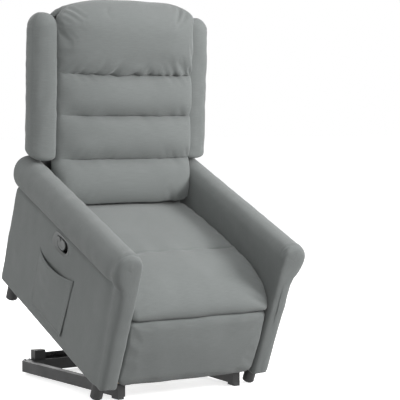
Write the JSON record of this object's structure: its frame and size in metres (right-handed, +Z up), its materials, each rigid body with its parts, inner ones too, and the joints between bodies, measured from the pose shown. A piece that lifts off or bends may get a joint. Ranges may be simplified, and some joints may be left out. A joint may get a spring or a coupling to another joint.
{
  "type": "lift recliner chair",
  "caption": "Padded wing-back recliner on a steel base that tilts it forward to help a person stand, with a fold-out footrest.",
  "frame": {"origin": "on the floor, under the middle of the raised chair's box", "axes": "+Z up, -Y the way the sitter faces, +X the sitter's left"},
  "size_m": [0.708, 0.8648, 1.2774],
  "materials": {
    "grey_fabric": "matte",
    "charcoal_steel": "satin",
    "black_steel": "satin",
    "zinc_steel": "satin",
    "chrome": "polished",
    "aluminium": "satin",
    "black_plastic": "matte",
    "grey_plastic": "satin",
    "rubber": "matte",
    "timber": "matte"
  },
  "bodies": {
    "base": {"base_side_tube_left": "charcoal_steel", "base_side_tube_right": "charcoal_steel", "base_tube_end_plugs": "black_plastic", "base_rear_cross_tube": "charcoal_steel", "base_rear_angle": "charcoal_steel", "base_rest_blocks": "rubber", "base_front_feet": "charcoal_steel", "base_rear_feet": "rubber", "lift_hinge_brackets": "charcoal_steel", "lift_and_actuator_pins": "zinc_steel", "actuator_bracket": "charcoal_steel", "power_inlet": "black_plastic"},
    "actuator": {"actuator_rear_link": "aluminium", "actuator_gearbox": "black_plastic", "actuator_motor": "black_plastic", "actuator_outer_tube": "aluminium", "actuator_gland": "black_plastic"},
    "actuator_rod": {"actuator_rod": "chrome", "actuator_rod_eye": "aluminium", "actuator_rod_pin": "zinc_steel"},
    "chair": {"lift_rail_left": "black_steel", "lift_rail_right": "black_steel", "lift_torque_tube_and_lugs": "black_steel", "lift_rear_cross_tube": "black_steel", "arm_brackets": "black_steel", "left_arm_cover": "grey_fabric", "right_arm_cover": "grey_fabric", "left_arm_frame": "timber", "right_arm_frame": "timber", "left_arm_foam": "grey_fabric", "right_arm_foam": "grey_fabric", "floor_glides": "black_plastic", "arm_spacers": "zinc_steel", "latch_bezel": "grey_plastic", "latch_cup_and_pin": "grey_plastic", "side_pocket": "grey_fabric", "seat_cushion": "grey_fabric", "seat_side_rails": "timber", "seat_cross_rails": "timber", "seat_springs": "zinc_steel", "mechanism_plates": "black_steel", "recline_hinge_plates": "black_steel", "rear_valance": "grey_fabric"},
    "latch": {"latch_lever": "grey_plastic"},
    "backrest": {"back_cushion": "grey_fabric", "back_posts": "timber", "back_cross_rails": "timber", "back_springs": "zinc_steel", "recline_hinge_pins": "zinc_steel", "left_bolster": "grey_fabric", "right_bolster": "grey_fabric", "back_skin": "grey_fabric"},
    "front_arm": {"footrest_front_arms": "black_steel"},
    "lift_arm": {"footrest_lift_arms": "black_steel"},
    "guide_arm": {"footrest_guide_arms": "black_steel"},
    "control_arm": {"footrest_control_arms": "black_steel"},
    "footrest": {"footrest_brackets": "black_steel", "footrest_board": "timber", "footrest_pad": "grey_fabric"}
  },
  "joints": [
    {"name": "lift", "type": "hinge", "parent": "base", "child": "chair", "pos_m": [0, -0.20363, 0.06], "axis": [1, 0, 0], "range_deg": [-23, 0]},
    {"name": "actuator_swing", "type": "hinge", "parent": "base", "child": "actuator", "pos_m": [0, 0.36337, 0.112], "axis": [1, 0, 0], "range_deg": [0, 0.4357]},
    {"name": "actuator_extend", "type": "slide", "parent": "actuator", "child": "actuator_rod", "axis": [0, -0.9929, 0.1191], "range_m": [-0.04788, 0.0002]},
    {"name": "recline", "type": "hinge", "parent": "chair", "child": "backrest", "pos_m": [0, 0.24002, 0.69373], "axis": [1, 0, 0], "range_deg": [-35, 0]},
    {"name": "footrest_fold", "type": "hinge", "parent": "chair", "child": "front_arm", "pos_m": [0, -0.12779, 0.27035], "axis": [-1, 0, 0], "range_deg": [0, 101.9]},
    {"name": "lift_arm_pivot", "type": "hinge", "parent": "front_arm", "child": "lift_arm", "pos_m": [0, -0.07566, 0.12311], "axis": [-1, 0, 0], "range_deg": [-140.2, 0]},
    {"name": "footrest_pivot", "type": "hinge", "parent": "lift_arm", "child": "footrest", "pos_m": [0, -0.26225, 0.23392], "axis": [-1, 0, 0], "range_deg": [0, 128.3]},
    {"name": "guide_arm_pivot", "type": "hinge", "parent": "chair", "child": "guide_arm", "pos_m": [0, -0.17373, 0.21989], "axis": [-1, 0, 0], "range_deg": [0, 116.1]},
    {"name": "control_arm_pivot", "type": "hinge", "parent": "front_arm", "child": "control_arm", "pos_m": [0, -0.05724, 0.1499], "axis": [-1, 0, 0], "range_deg": [-142.2, 0]},
    {"name": "latch_pull", "type": "hinge", "parent": "chair", "child": "latch", "pos_m": [-0.32, 0.00679, 0.49587], "axis": [0, 0.3907, -0.9205], "range_deg": [0, 30], "stiffness_Nm_per_rad": 0.5, "springref_deg": -20.05}
  ],
  "couplings": [
    {"joint": "actuator_swing", "follows": "lift", "ratio": -0.018507},
    {"joint": "actuator_extend", "follows": "lift", "m_per_rad": 0.11877},
    {"joint": "lift_arm_pivot", "follows": "footrest_fold", "ratio": -1.3749},
    {"joint": "footrest_pivot", "follows": "footrest_fold", "ratio": 1.2581},
    {"joint": "guide_arm_pivot", "follows": "footrest_fold", "ratio": 1.1384},
    {"joint": "control_arm_pivot", "follows": "footrest_fold", "ratio": -1.3945}
  ]
}
